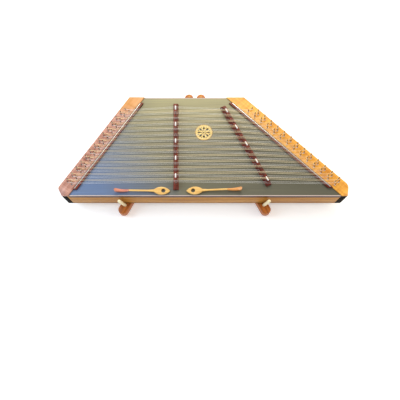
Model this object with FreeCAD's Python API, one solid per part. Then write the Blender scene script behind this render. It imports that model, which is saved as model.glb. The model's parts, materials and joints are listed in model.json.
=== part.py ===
"""Hammered dulcimer: a trapezoid zither on a folding V stand, with two hammers lying on it.

Units are millimetres and Z is up. While the pieces are made, Y is 0 at the body's front edge and
grows towards the back, X grows to the right, and Z is 0 at the floor. Before export all of them
move together, so that the origin is the middle of the footprint at floor level.
"""
import FreeCAD
import Part
import math
import os

Vec = FreeCAD.Vector

# Body outline, seen from above.
front_width = 1124.0        # between the points where the two side lines meet the front edge
front_left_x = -527.0       # the left one of those points
body_depth = 412.0
left_run = 259.5            # how far the left side leans in from front to back
right_run = 412.0
left_cut = (36.0, 30.0)     # corner cut: along the front edge, and its depth on the side
right_cut = (50.0, 42.0)
left_corner_radius = 14.0   # rounding where a corner cut meets the side
right_corner_radius = 24.0
rail_lap = 16.0             # front rail's ends, past the inner lines of the pin blocks

# Body section.
body_height = 83.0          # underside of the back board to the top of the soundboard
back_board_thickness = 5.0
soundboard_thickness = 5.0
block_width = 50.0          # square to the side line
block_top_thickness = 6.0
block_top_proud = 4.0       # above the soundboard
rail_thickness = 18.0
moulding_width = 4.0
moulding_height = 16.0
binding_thickness = 3.0
ledge_size = 12.0

# Inner braces.
cross_brace_front_y = 140.0
cross_brace_rear_y = 275.0
cross_brace_thickness = 15.0
cross_brace_height = 40.0
bridge_brace_thickness = 12.0
brace_hole_radius = 13.0
brace_hole_pitch = 62.0
brace_hole_rise = 53.0      # above the back board

# Courses of strings: the two families alternate at half a pitch.
course_pitch = 23.4
first_course_y = 47.0
last_course_margin = 54.0   # least distance from the last treble course to the back edge
marker_step = 3             # every third cap of a bridge is a marker
treble_marker_start = 1
bass_marker_start = 0
treble_wire = 0.6
bass_wire = 0.9

# Main bridges. Shares of the way from left to right crest, at the first and last treble course.
treble_shares = (0.393, 0.386)
bass_shares = (0.765, 0.850)
treble_overhangs = (24.0, 29.0)       # bar beyond its own first and last course
bass_overhangs = (18.5, 28.5)
bridge_height = 25.0
bridge_base = 21.0
bridge_top = 11.0
bridge_nose = 12.0
bridge_nose_height = 7.0
bridge_hole_radius = 5.5
treble_bridge_hole_rise = 17.5
bass_bridge_hole_rise = 13.5
bridge_cap_radius = 2.5
bridge_cap_gap = 6.4        # between the caps of neighbouring courses
bridge_cap_rise = 25.5      # centre of a cap above the soundboard

# Side bridges, beside the pin blocks.
side_bridge_width = 12.0
side_bridge_height = 7.0
side_bridge_back_margin = 27.0
left_side_bridge_front = 24.0
right_side_bridge_front = 31.0
side_rod_radius = 2.0
side_rod_inset = 4.0        # from the block's inner line
side_rod_margin = 3.0

# Pins, in four rows along a block. Treble courses use the first and third, bass the others.
first_row = 13.0            # from the block's inner line
last_row_margin = 10.0      # from the block's outer side
hitch_radius = 1.6
hitch_buried = 20.0
hitch_height = 9.0
tuning_radius = 2.5
tuning_buried = 28.0
tuning_round_height = 11.0
tuning_height = 20.0
tuning_square = 3.4
turning_clearance = 0.05
turning_courses = 2         # the frontmost courses, whose pins are pieces of their own
string_end_rise = 2.2       # string above the block top at its pins
string_clearance = 0.3      # between a string's end and the side of its pin
passing_clearance = 0.65    # between a string and the pins of the next course
crest_wrap = 1.0            # half the level stretch where a string lies over a rod

# Rosette.
rosette_y = 258.0
rosette_share = 0.454       # of the way from the treble to the bass crest
rosette_radius = 34.0
rosette_thickness = 2.5
rosette_proud = 1.0
rosette_clearance = 0.2
sound_hole_radius = 29.5
rosette_folds = 8
petal_start = 11.5
petal_end = 24.5
petal_half_width = 4.0
between_petals = (23.2, 2.6)      # radius of the ring, radius of a hole
inner_ring = (8.2, 2.0)
centre_hole_radius = 3.0
rim_holes = 24
rim_ring = (28.6, 1.2)

# Hammers, in their own frame: X runs from the tip of the handle to the head, Z is up.
eye_length = 62.0
eye_width = 29.0
eye_thickness = 7.0
finger_hole_x = 24.5
finger_hole_radius = 7.5
shaft_width = 6.0
shaft_bottom = 1.5
shaft_top = 5.5
shaft_neck = 22.0           # length over which the eye runs into the shaft
head_start = 149.0
head_length = 53.0
head_drop = 9.0             # striking face below the underside of the handle
head_middle = 26.0          # lowest point of the striking face, from the start of the head
head_arc_radius = 42.0
head_thickness = 9.5
head_tip_width = 11.0
head_neck_width = 7.0
pad_thickness = 1.0
pad_width = 7.0
pad_reach = 15.0            # to each side of the lowest point
hammer_y = 18.5
left_hammer_gap = 21.5      # from the treble bridge's crest to the tip of the handle
right_hammer_gap = 38.0
right_hammer_turn = 1.7     # degrees

# Stand.
foot_height = 8.0
foot_radius = 14.0
arm_height = 34.0
arm_width = 36.0
arm_half_angle = 26.9       # degrees, each arm from straight ahead
peg_ahead = 7.5             # in front of the body
arm_nose = 18.0             # peg to the centre of the arm's round front end
pivot_behind = 54.0         # behind the body
pivot_gap = 50.0            # between the two pivots
stand_from_left = 517.0     # middle of the stand, from the left front point of the outline
felt_thickness = 2.0
felt_width = 26.0
felt_margin = 26.0          # felt strip's end centres, inside the body's front and back
peg_radius = 6.0
peg_height = 90.0
peg_lean = 9.0              # degrees, outwards along its arm
peg_seat = 20.0
peg_rounding = 4.0
rear_foot_thickness = 2.0
bolt_radius = 4.0
bolt_head_radius = 7.5
bolt_head_height = 3.0
washer_radius = 8.0
washer_thickness = 1.5
nut_across_flats = 13.0
nut_height = 6.5

# Levels.
arm_bottom = foot_height
arm_top = arm_bottom + arm_height
body_bottom = arm_top + felt_thickness
deck = body_bottom + body_height
inside_bottom = body_bottom + back_board_thickness
inside_top = deck - soundboard_thickness
block_top_level = deck + block_top_proud
block_level = block_top_level - block_top_thickness
moulding_bottom = deck - moulding_height
side_crest = deck + side_bridge_height + side_rod_radius
bridge_crest = deck + bridge_cap_rise + bridge_cap_radius

# Side lines.
left_lean = math.hypot(left_run, body_depth) / body_depth
right_lean = math.hypot(right_run, body_depth) / body_depth

# Courses, pin rows and stand. The two strings of a course stand as far apart as the pins allow.
pair_gap = (course_pitch / 2 - 2 * tuning_radius - (treble_wire + bass_wire) / 2
            - string_clearance - passing_clearance)
bass_count = int((body_depth - last_course_margin - first_course_y) / course_pitch)
treble_courses = [first_course_y + course_pitch * i for i in range(bass_count + 1)]
bass_courses = [first_course_y + course_pitch * (i + 0.5) for i in range(bass_count)]
row_step = (block_width - first_row - last_row_margin) / 3
treble_rows = (first_row, first_row + 2 * row_step)
bass_rows = (first_row + row_step, first_row + 3 * row_step)
crest_inset = block_width + side_rod_inset
side_bridge_back = body_depth - side_bridge_back_margin
pivot_y = body_depth + pivot_behind
arm_angle = math.radians(arm_half_angle)
arm_to_peg = (pivot_y + peg_ahead) / math.cos(arm_angle)
felt_start = (pivot_behind + felt_margin) / math.cos(arm_angle)
felt_end = (pivot_y - felt_margin) / math.cos(arm_angle)
deck_front = moulding_width
deck_back = body_depth - moulding_width


def left_line(y, inset=0.0):
    """X of the left side at a depth, moved inwards square to the side by inset."""
    return front_left_x + left_run * y / body_depth + inset * left_lean


def right_line(y, inset=0.0):
    """X of the right side at a depth, moved inwards square to the side by inset."""
    return front_left_x + front_width - right_run * y / body_depth - inset * right_lean


def crest_line(shares):
    """A bridge's crest: X at the front edge, and the X gained for each millimetre back."""
    ends = (treble_courses[0], treble_courses[-1])
    first_x, last_x = [left_line(y, crest_inset) * (1 - share) + right_line(y, crest_inset) * share
                       for y, share in zip(ends, shares)]
    gain = (last_x - first_x) / (ends[1] - ends[0])
    return first_x - gain * ends[0], gain


def crest_x(crest, y):
    """X of a bridge's crest at a depth."""
    return crest[0] + crest[1] * y


treble_crest = crest_line(treble_shares)
bass_crest = crest_line(bass_shares)


def prism(points, bottom, top):
    """Upright solid on a plan outline."""
    corners = [Vec(x, y, bottom) for x, y in points]
    outline = Part.makePolygon(corners + corners[:1])
    return Part.Face(outline).extrude(Vec(0, 0, top - bottom))


def side_prism(points, start, end):
    """Solid on an outline in X and Z, from one Y to another."""
    corners = [Vec(x, start, z) for x, z in points]
    outline = Part.makePolygon(corners + corners[:1])
    return Part.Face(outline).extrude(Vec(0, end - start, 0))


def across(front, back, inset, bottom, top):
    """Solid from side line to side line, both moved in by inset."""
    points = [(left_line(front, inset), front), (right_line(front, inset), front),
              (right_line(back, inset), back), (left_line(back, inset), back)]
    return prism(points, bottom, top)


def strip(line, insets, ends, bottom, top):
    """Solid along one side line, between two insets and two depths."""
    outer, inner = insets
    front, back = ends
    points = [(line(front, outer), front), (line(front, inner), front),
              (line(back, inner), back), (line(back, outer), back)]
    return prism(points, bottom, top)


def upright(x, y, radius, bottom, top):
    """Upright cylinder."""
    return Part.makeCylinder(radius, top - bottom, Vec(x, y, bottom))


def rod(start, end, level, radius):
    """Level cylinder between two points of the plan."""
    first = Vec(start[0], start[1], level)
    run = Vec(end[0], end[1], level) - first
    return Part.makeCylinder(radius, run.Length, first, run)


def stadium(start, end, radius, bottom, top):
    """Upright solid with straight sides and round ends about two points of the plan."""
    first = Vec(start[0], start[1], bottom)
    second = Vec(end[0], end[1], bottom)
    along = (second - first).normalize()
    aside = Vec(-along.y, along.x, 0)
    corners = [first + aside * radius, second + aside * radius,
               second - aside * radius, first - aside * radius]
    edges = [Part.LineSegment(corners[0], corners[1]).toShape(),
             Part.Arc(corners[1], second + along * radius, corners[2]).toShape(),
             Part.LineSegment(corners[2], corners[3]).toShape(),
             Part.Arc(corners[3], first - along * radius, corners[0]).toShape()]
    return Part.Face(Part.Wire(edges)).extrude(Vec(0, 0, top - bottom))


def body_plan(bottom, top):
    """The whole body's plan, with its two front corners cut and rounded."""
    right_x = front_left_x + front_width
    corners = [(left_line(left_cut[1]), left_cut[1]), (right_line(right_cut[1]), right_cut[1])]
    points = [(front_left_x + left_cut[0], 0), (right_x - right_cut[0], 0), corners[1],
              (right_line(body_depth), body_depth), (left_line(body_depth), body_depth), corners[0]]
    solid = prism(points, bottom, top)
    for corner, radius in zip(corners, (left_corner_radius, right_corner_radius)):
        solid = solid.makeFillet(radius, [edge_above(solid, corner)])
    return solid


def edge_above(solid, corner):
    """The upright edge of a solid at one corner of its plan."""
    for edge in solid.Edges:
        foot = edge.Vertexes[0].Point
        upright_edge = edge.BoundBox.ZLength > edge.Length / 2
        if upright_edge and math.dist((foot.x, foot.y), corner) < 0.01:
            return edge


def pin_place(line, y, hand, row, wire, radius):
    """Plan centre of the pin that stands beside one string of a course."""
    beside = y + hand * (pair_gap / 2 + wire / 2 + string_clearance + radius)
    return line(beside, block_width - row), beside


def pins_of(line, radius):
    """Plan centres of all the pins on one side, by course, from the front."""
    places = []
    for courses, rows, wire in ((treble_courses, treble_rows, treble_wire),
                                (bass_courses, bass_rows, bass_wire)):
        for y in courses:
            pair = [pin_place(line, y, hand, row, wire, radius) for hand, row in zip((-1, 1), rows)]
            places.append((y, pair))
    return [pair for _, pair in sorted(places)]


def pin_holes(courses, radius, bottom, top):
    """Cylinders that drill the holes for a list of pin pairs."""
    return [upright(x, y, radius, bottom, top) for pair in courses for x, y in pair]


def body_shell(nodes):
    """Boards, rails, pin blocks, corner caps, mouldings and ledges of the sound box."""
    hitch = pins_of(left_line, hitch_radius)
    tuning = pins_of(right_line, tuning_radius)
    cap_left_x = left_line(rail_thickness, block_width) - rail_lap
    cap_right_x = right_line(rail_thickness, block_width) + rail_lap
    rail = prism([(cap_left_x, 0), (cap_right_x, 0), (cap_right_x, rail_thickness),
                  (cap_left_x, rail_thickness)], inside_bottom, inside_top)
    inner_top = across(0, body_depth, block_width, moulding_bottom, block_top_level)
    caps = {}
    for side, x, depth in (("left", cap_left_x, left_cut[1]), ("right", cap_right_x, right_cut[1])):
        away = front_left_x if side == "left" else front_left_x + front_width
        corner = prism([(x, 0), (x, depth), (away, depth), (away, 0)], body_bottom, block_level)
        caps[side] = corner.common(body_plan(body_bottom, block_level)).cut(inner_top)
        nodes["corner_cap_" + side] = caps[side]

    binding = prism([(cap_left_x, 0), (cap_right_x, 0), (cap_right_x, binding_thickness),
                     (cap_left_x, binding_thickness)], body_bottom, inside_bottom)
    nodes["front_binding"] = binding
    back_board = body_plan(body_bottom, inside_bottom).cut(binding)
    nodes["back_board"] = back_board.cut([caps["left"], caps["right"]])

    nodes["front_rail"] = rail.cut(inner_top.cut(across(deck_front, body_depth, block_width,
                                                        moulding_bottom, block_top_level)))
    back_rail = across(body_depth - rail_thickness, body_depth, block_width, inside_bottom, inside_top)
    back_moulding = across(deck_back, body_depth, block_width, moulding_bottom, deck)
    nodes["back_rail"] = back_rail.cut(back_moulding)
    nodes["back_moulding"] = back_moulding
    nodes["front_moulding"] = across(0, deck_front, block_width, moulding_bottom, deck)

    turning = tuning[:turning_courses]
    fixed = tuning[turning_courses:]
    drills = {"left": pin_holes(hitch, hitch_radius, block_level - hitch_buried, block_top_level),
              "right": (pin_holes(fixed, tuning_radius, block_level - tuning_buried, block_top_level)
                        + pin_holes(turning, tuning_radius + turning_clearance,
                                    block_level - tuning_buried, block_top_level))}
    for side, line in (("left", left_line), ("right", right_line)):
        block = strip(line, (0, block_width), (0, body_depth), inside_bottom, block_level)
        block = block.common(body_plan(inside_bottom, block_level))
        block = block.cut([caps[side], rail])
        nodes["pin_block_" + side] = block.cut(drills[side])
        top = strip(line, (0, block_width), (0, body_depth), block_level, block_top_level)
        top = top.common(body_plan(block_level, block_top_level))
        nodes["block_top_" + side] = top.cut(drills[side])
        ledge = strip(line, (block_width, block_width + ledge_size),
                      (rail_thickness, body_depth - rail_thickness), inside_top - ledge_size, inside_top)
        nodes["ledge_" + side] = ledge.cut(caps[side])


def braces(nodes):
    """Braces inside: two across the box, and one under each main bridge."""
    crossings = []
    for name, y in (("front", cross_brace_front_y), ("rear", cross_brace_rear_y)):
        crossing = across(y, y + cross_brace_thickness, block_width, inside_bottom,
                          inside_bottom + cross_brace_height)
        crossings.append(crossing)
        nodes["cross_brace_" + name] = crossing
    front = rail_thickness
    back = body_depth - rail_thickness
    half = bridge_brace_thickness / 2
    for name, crest in (("treble_brace", treble_crest), ("bass_brace", bass_crest)):
        wide = half * math.hypot(1, crest[1])
        points = [(crest_x(crest, front) - wide, front), (crest_x(crest, front) + wide, front),
                  (crest_x(crest, back) + wide, back), (crest_x(crest, back) - wide, back)]
        brace = prism(points, inside_bottom, inside_top)
        brace = brace.cut(crossings + [nodes["ledge_left"], nodes["ledge_right"]])
        holes = []
        y = front + brace_hole_pitch / 2
        while y < back - brace_hole_radius:
            start = Vec(crest_x(crest, y) - 4 * half, y, inside_bottom + brace_hole_rise)
            holes.append(Part.makeCylinder(brace_hole_radius, 8 * half, start, Vec(1, 0, 0)))
            y += brace_hole_pitch
        nodes[name] = brace.cut(holes)


def rosette_at_origin():
    """Pierced disc: petals round a ring, small holes between them and round the rim."""
    disc = Part.makeCylinder(rosette_radius, rosette_thickness)
    tools = [Part.makeCylinder(centre_hole_radius, rosette_thickness)]
    middle = (petal_start + petal_end) / 2
    half_length = (petal_end - petal_start) / 2
    arc_radius = (half_length ** 2 + petal_half_width ** 2) / (2 * petal_half_width)
    offset = arc_radius - petal_half_width
    lens = upright(middle, offset, arc_radius, 0, rosette_thickness)
    lens = lens.common(upright(middle, -offset, arc_radius, 0, rosette_thickness))
    for i in range(rosette_folds):
        turn = 360.0 * i / rosette_folds
        petal = lens.copy()
        petal.rotate(Vec(), Vec(0, 0, 1), turn)
        tools.append(petal)
        tools.append(hole_on_ring(inner_ring, turn))
        tools.append(hole_on_ring(between_petals, turn + 180.0 / rosette_folds))
    for i in range(rim_holes):
        tools.append(hole_on_ring(rim_ring, 360.0 * (i + 0.5) / rim_holes))
    return disc.cut(tools)


def hole_on_ring(ring, turn):
    """Drill for one hole of the rosette, on a ring of (radius, hole radius)."""
    angle = math.radians(turn)
    return upright(ring[0] * math.cos(angle), ring[0] * math.sin(angle), ring[1], 0, rosette_thickness)


def soundboard(nodes):
    """The soundboard with its sound hole, and the rosette let into it."""
    y = rosette_y
    x = crest_x(treble_crest, y) * (1 - rosette_share) + crest_x(bass_crest, y) * rosette_share
    board = across(deck_front, deck_back, block_width, inside_top, deck)
    seat_level = deck + rosette_proud - rosette_thickness
    hole = upright(x, y, sound_hole_radius, inside_top, deck)
    seat = upright(x, y, rosette_radius + rosette_clearance, seat_level, deck)
    nodes["soundboard"] = board.cut([hole, seat])
    rosette = rosette_at_origin()
    rosette.translate(Vec(x, y, seat_level))
    nodes["rosette"] = rosette


def bridge_bar(crest, front, back):
    """Tapered bar under a crest line, low at both ends."""
    length = (back - front) * math.hypot(1, crest[1])
    section = side_prism([(-bridge_base / 2, 0), (bridge_base / 2, 0), (bridge_top / 2, bridge_height),
                          (-bridge_top / 2, bridge_height)], 0, length)
    profile = [(0, 0), (0, bridge_nose_height), (bridge_nose, bridge_height),
               (length - bridge_nose, bridge_height), (length, bridge_nose_height), (length, 0)]
    corners = [Vec(-bridge_base, y, z) for y, z in profile]
    side = Part.Face(Part.makePolygon(corners + corners[:1])).extrude(Vec(2 * bridge_base, 0, 0))
    bar = section.common(side)
    bar.rotate(Vec(), Vec(0, 0, 1), -math.degrees(math.atan(crest[1])))
    bar.translate(Vec(crest_x(crest, front), front, deck))
    return bar


def bridge_cap(crest, y):
    """Short rod that carries one course on a bridge's crest."""
    along = Vec(crest[1], 1, 0).normalize()
    length = course_pitch - bridge_cap_gap
    start = Vec(crest_x(crest, y), y, deck + bridge_cap_rise) - along * (length / 2)
    return Part.makeCylinder(bridge_cap_radius, length, start, along)


def bridges(nodes):
    """The two main bridges with their caps, and the side bridges with their rods."""
    for family, crest, overhangs, own, others, rise, marker_start in (
            ("treble", treble_crest, treble_overhangs, treble_courses, bass_courses,
             treble_bridge_hole_rise, treble_marker_start),
            ("bass", bass_crest, bass_overhangs, bass_courses, treble_courses,
             bass_bridge_hole_rise, bass_marker_start)):
        caps = [bridge_cap(crest, y) for y in own]
        reach = 2 * bridge_base
        holes = []
        for y in others:
            start = Vec(crest_x(crest, y) - reach, y, deck + rise)
            holes.append(Part.makeCylinder(bridge_hole_radius, 2 * reach, start, Vec(1, 0, 0)))
        bar = bridge_bar(crest, own[0] - overhangs[0], own[-1] + overhangs[1])
        nodes[family + "_bridge"] = bar.cut(caps + holes)
        markers = caps[marker_start::marker_step]
        nodes[family + "_marker_caps"] = Part.makeCompound(markers)
        nodes[family + "_caps"] = Part.makeCompound([cap for cap in caps if cap not in markers])

    insets = (block_width, block_width + side_bridge_width)
    for side, line, front in (("left", left_line, left_side_bridge_front),
                              ("right", right_line, right_side_bridge_front)):
        bar = strip(line, insets, (front, side_bridge_back), deck, deck + side_bridge_height)
        ends = [(line(y, crest_inset), y)
                for y in (front + side_rod_margin, side_bridge_back - side_rod_margin)]
        carried = rod(ends[0], ends[1], deck + side_bridge_height, side_rod_radius)
        nodes["side_bridge_" + side] = bar.cut(carried)
        nodes["side_rod_" + side] = carried


def string(y, hand, row, wire, crest):
    """One string from its hitch pin over the bridges to its tuning pin."""
    end_level = block_top_level + string_end_rise
    middle = y + hand * pair_gap / 2
    hitch_x, _ = pin_place(left_line, y, hand, row, wire, hitch_radius)
    tuning_x, _ = pin_place(right_line, y, hand, row, wire, tuning_radius)
    under = [(hitch_x, end_level)]
    for x, level in ((left_line(middle, crest_inset), side_crest),
                     (crest_x(crest, middle), bridge_crest),
                     (right_line(middle, crest_inset), side_crest)):
        under += [(x - crest_wrap, level), (x + crest_wrap, level)]
    under.append((tuning_x, end_level))
    over = [(x, z + wire) for x, z in reversed(under)]
    return side_prism(under + over, middle - wire / 2, middle + wire / 2)


def strings(nodes):
    """All the strings, by family."""
    for family, courses, rows, wire, crest in (
            ("treble", treble_courses, treble_rows, treble_wire, treble_crest),
            ("bass", bass_courses, bass_rows, bass_wire, bass_crest)):
        made = [string(y, hand, row, wire, crest) for y in courses for hand, row in zip((-1, 1), rows)]
        nodes[family + "_strings"] = Part.makeCompound(made)


def tuning_pin(x, y):
    """Round pin with a square top for the tuning key."""
    shank = upright(x, y, tuning_radius, block_level - tuning_buried, block_top_level + tuning_round_height)
    half = tuning_square / 2
    head = prism([(x - half, y - half), (x + half, y - half), (x + half, y + half), (x - half, y + half)],
                 block_top_level + tuning_round_height, block_top_level + tuning_height)
    return shank.fuse(head)


def pins(nodes):
    """Hitch pins on the left, tuning pins on the right; the frontmost of those stay separate."""
    hitch = [upright(x, y, hitch_radius, block_level - hitch_buried, block_top_level + hitch_height)
             for pair in pins_of(left_line, hitch_radius) for x, y in pair]
    nodes["hitch_pins"] = Part.makeCompound(hitch)
    tuning = pins_of(right_line, tuning_radius)
    grouped = [tuning_pin(x, y) for pair in tuning[turning_courses:] for x, y in pair]
    nodes["tuning_pins"] = Part.makeCompound(grouped)
    separate = [place for pair in tuning[:turning_courses] for place in pair]
    for number, (x, y) in enumerate(separate, 1):
        nodes["tuning_pin_%d" % number] = tuning_pin(x, y)


def hammer_handle():
    """Flat eye-shaped grip with a finger hole, running into a thin shaft."""
    half_eye = eye_width / 2
    half_shaft = shaft_width / 2
    tip = Vec(0, 0, 0)
    widest = eye_length / 2
    neck_x = eye_length - 4
    neck_end = neck_x + shaft_neck
    end = head_start
    front = Part.Arc(Vec(neck_x, half_shaft + 1.5, 0), Vec(widest, half_eye, 0), tip)
    back = Part.Arc(tip, Vec(widest, -half_eye, 0), Vec(neck_x, -half_shaft - 1.5, 0))
    edges = [front.toShape(), back.toShape(),
             Part.LineSegment(Vec(neck_x, -half_shaft - 1.5, 0), Vec(neck_end, -half_shaft, 0)).toShape(),
             Part.LineSegment(Vec(neck_end, -half_shaft, 0), Vec(end, -half_shaft, 0)).toShape(),
             Part.LineSegment(Vec(end, -half_shaft, 0), Vec(end, half_shaft, 0)).toShape(),
             Part.LineSegment(Vec(end, half_shaft, 0), Vec(neck_end, half_shaft, 0)).toShape(),
             Part.LineSegment(Vec(neck_end, half_shaft, 0), Vec(neck_x, half_shaft + 1.5, 0)).toShape()]
    plan = Part.Face(Part.Wire(edges)).extrude(Vec(0, 0, eye_thickness))
    section = side_prism([(0, 0), (neck_x, 0), (neck_end, shaft_bottom), (end, shaft_bottom),
                          (end, shaft_top), (neck_end, shaft_top), (neck_x, eye_thickness),
                          (0, eye_thickness)], -eye_width, eye_width)
    hole = Part.makeCylinder(finger_hole_radius, eye_thickness, Vec(finger_hole_x, 0, 0))
    return plan.common(section).cut(hole)


def head_arc(radius, start, end):
    """Arc edge about the centre of the striking face, between two X offsets from its lowest point."""
    centre_x = head_start + head_middle
    centre_z = head_arc_radius - head_drop

    def point(offset):
        return Vec(centre_x + offset, 0, centre_z - math.sqrt(radius ** 2 - offset ** 2))

    return Part.Arc(point(start), point((start + end) / 2), point(end)).toShape(), point(start), point(end)


def hammer_head():
    """Curved head, low in the middle and turned up at its tip, wider towards the tip."""
    face_radius = head_arc_radius - pad_thickness
    low_edge, low_start, low_end = head_arc(face_radius, -head_middle + 3, head_length - head_middle)
    heel_low = Vec(head_start, 0, shaft_bottom)
    heel_high = Vec(head_start, 0, shaft_top)
    tip_high = Vec(low_end.x, 0, low_end.z + head_thickness)
    middle_high = Vec(head_start + head_middle, 0, -head_drop + pad_thickness + head_thickness + 1)
    edges = [Part.LineSegment(heel_low, low_start).toShape(), low_edge,
             Part.LineSegment(low_end, tip_high).toShape(),
             Part.Arc(tip_high, middle_high, heel_high).toShape(),
             Part.LineSegment(heel_high, heel_low).toShape()]
    side = Part.Face(Part.Wire(edges))
    side.translate(Vec(0, -head_tip_width, 0))
    side = side.extrude(Vec(0, 2 * head_tip_width, 0))
    end = head_start + head_length
    bulb = head_tip_width / 2
    neck = head_neck_width / 2
    low = -2 * head_drop
    points = [(head_start, -shaft_width / 2), (head_start + head_middle / 2, -neck), (end - bulb, -bulb),
              (end - bulb, bulb), (head_start + head_middle / 2, neck), (head_start, shaft_width / 2)]
    plan = prism(points, low, 4 * head_drop)
    plan = plan.fuse(upright(end - bulb, 0, bulb, low, 4 * head_drop))
    return side.common(plan)


def hammer_pad():
    """Thin strip of leather on the striking face."""
    low_edge, low_start, low_end = head_arc(head_arc_radius, -pad_reach, pad_reach)
    high_edge, high_start, high_end = head_arc(head_arc_radius - pad_thickness, -pad_reach, pad_reach)
    edges = [low_edge, Part.LineSegment(low_end, high_end).toShape(), high_edge,
             Part.LineSegment(high_start, low_start).toShape()]
    side = Part.Face(Part.Wire(edges))
    side.translate(Vec(0, -pad_width / 2, 0))
    return side.extrude(Vec(0, pad_width, 0))


def hammers(nodes):
    """Both hammers, each lying on the tip of its handle and the lowest point of its head."""
    centre_x = head_start + head_middle
    centre_z = head_arc_radius - head_drop
    tilt = math.asin(head_arc_radius / math.hypot(centre_x, centre_z)) - math.atan2(centre_z, centre_x)
    bridge_x = crest_x(treble_crest, hammer_y)
    for side, tip_x, turn in (("left", bridge_x - left_hammer_gap, 180.0),
                              ("right", bridge_x + right_hammer_gap, right_hammer_turn)):
        for piece, make in (("handle", hammer_handle), ("head", hammer_head), ("pad", hammer_pad)):
            shape = make()
            shape.rotate(Vec(), Vec(0, 1, 0), -math.degrees(tilt))
            shape.rotate(Vec(), Vec(0, 0, 1), turn)
            shape.translate(Vec(tip_x, hammer_y, deck))
            nodes["hammer_%s_%s" % (side, piece)] = shape


def stand(nodes):
    """Two arms that swing about upright bolts on a yoke, with pegs in front and feet below."""
    pivots = {}
    washers = []
    nuts = []
    nut_bottom = arm_top + washer_thickness
    corner = nut_across_flats / math.sqrt(3)
    for side, hand in (("left", -1), ("right", 1)):
        x = front_left_x + stand_from_left + hand * pivot_gap / 2
        pivots[side] = (x, pivot_y)
        ahead = Vec(hand * math.sin(arm_angle), -math.cos(arm_angle), 0)

        def along(distance):
            return x + ahead.x * distance, pivot_y + ahead.y * distance

        peg = along(arm_to_peg)
        arm = stadium(pivots[side], along(arm_to_peg + arm_nose), arm_width / 2, arm_bottom, arm_top)
        bore = upright(x, pivot_y, bolt_radius + turning_clearance, arm_bottom, arm_top)
        stick = upright(peg[0], peg[1], peg_radius, arm_top - peg_seat, arm_top + peg_height)
        rim = [edge for edge in stick.Edges if edge.BoundBox.ZMin > arm_top + peg_height - 1]
        stick = stick.makeFillet(peg_rounding, rim)
        stick.rotate(Vec(peg[0], peg[1], arm_top), Vec(-ahead.y, ahead.x, 0), peg_lean)
        nodes["peg_" + side] = stick
        nodes["arm_" + side] = arm.cut([bore, stick])
        nodes["arm_felt_" + side] = stadium(along(felt_start), along(felt_end), felt_width / 2,
                                            arm_top, body_bottom)
        nodes["front_foot_" + side] = upright(peg[0], peg[1], foot_radius, 0, foot_height)
        head = upright(x, pivot_y, bolt_head_radius, rear_foot_thickness,
                       rear_foot_thickness + bolt_head_height)
        shank = upright(x, pivot_y, bolt_radius, rear_foot_thickness, nut_bottom + nut_height)
        nodes["pivot_bolt_" + side] = head.fuse(shank)
        washers.append(upright(x, pivot_y, washer_radius, arm_top, nut_bottom).cut(shank))
        turns = [math.radians(60 * i) for i in range(6)]
        points = [(x + corner * math.cos(turn), pivot_y + corner * math.sin(turn)) for turn in turns]
        nuts.append(prism(points, nut_bottom, nut_bottom + nut_height).cut(shank))
    nodes["pivot_washers"] = Part.makeCompound(washers)
    nodes["pivot_nuts"] = Part.makeCompound(nuts)
    yoke = stadium(pivots["left"], pivots["right"], arm_width / 2, rear_foot_thickness, foot_height)
    nodes["stand_yoke"] = yoke.cut([nodes["pivot_bolt_left"], nodes["pivot_bolt_right"]])
    nodes["rear_foot"] = stadium(pivots["left"], pivots["right"], arm_width / 2, 0, rear_foot_thickness)


def main():
    """Make every piece, move the footprint's middle to the origin, and write one file a node."""
    nodes = {}
    for make in (body_shell, braces, soundboard, bridges, strings, pins, hammers, stand):
        make(nodes)
    box = Part.makeCompound(list(nodes.values())).BoundBox
    to_origin = Vec(-(box.XMin + box.XMax) / 2, -(box.YMin + box.YMax) / 2, -box.ZMin)
    os.makedirs("parts", exist_ok=True)
    for name, shape in nodes.items():
        shape.translate(to_origin)
        shape.exportStep("parts/%s.step" % name)
        print(name, len(shape.Solids), "solids", round(shape.Volume / 1000, 1), "cm3")
    print("moved by", round(to_origin.x, 3), round(to_origin.y, 3), round(to_origin.z, 3))


main()
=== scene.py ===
"""Hammered dulcimer on a folding V stand: the finished look of each piece, in metres."""

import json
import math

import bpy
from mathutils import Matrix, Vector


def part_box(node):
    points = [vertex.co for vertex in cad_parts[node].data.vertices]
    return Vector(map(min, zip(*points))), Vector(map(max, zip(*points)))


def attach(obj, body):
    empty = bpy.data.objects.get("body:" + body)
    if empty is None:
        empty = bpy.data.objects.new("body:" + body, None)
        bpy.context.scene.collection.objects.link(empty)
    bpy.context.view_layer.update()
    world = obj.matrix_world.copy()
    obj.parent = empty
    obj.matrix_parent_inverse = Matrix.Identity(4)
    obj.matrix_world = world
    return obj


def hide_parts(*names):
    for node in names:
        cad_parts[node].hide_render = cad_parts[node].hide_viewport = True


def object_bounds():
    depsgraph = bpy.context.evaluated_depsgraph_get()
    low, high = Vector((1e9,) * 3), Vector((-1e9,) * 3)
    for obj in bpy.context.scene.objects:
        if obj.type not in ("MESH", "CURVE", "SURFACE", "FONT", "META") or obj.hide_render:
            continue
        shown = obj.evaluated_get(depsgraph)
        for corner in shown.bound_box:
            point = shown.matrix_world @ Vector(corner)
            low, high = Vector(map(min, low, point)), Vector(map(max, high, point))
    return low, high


bl_info = {
    "name": "Hammered Dulcimer",
    "version": (1, 0, 0),
    "blender": (4, 5, 0),
    "location": "3D View > Sidebar > Dulcimer",
    "description": "Adds the finished pieces of a hammered dulcimer, its hammers and its stand",
    "category": "Add Mesh",
}

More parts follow.
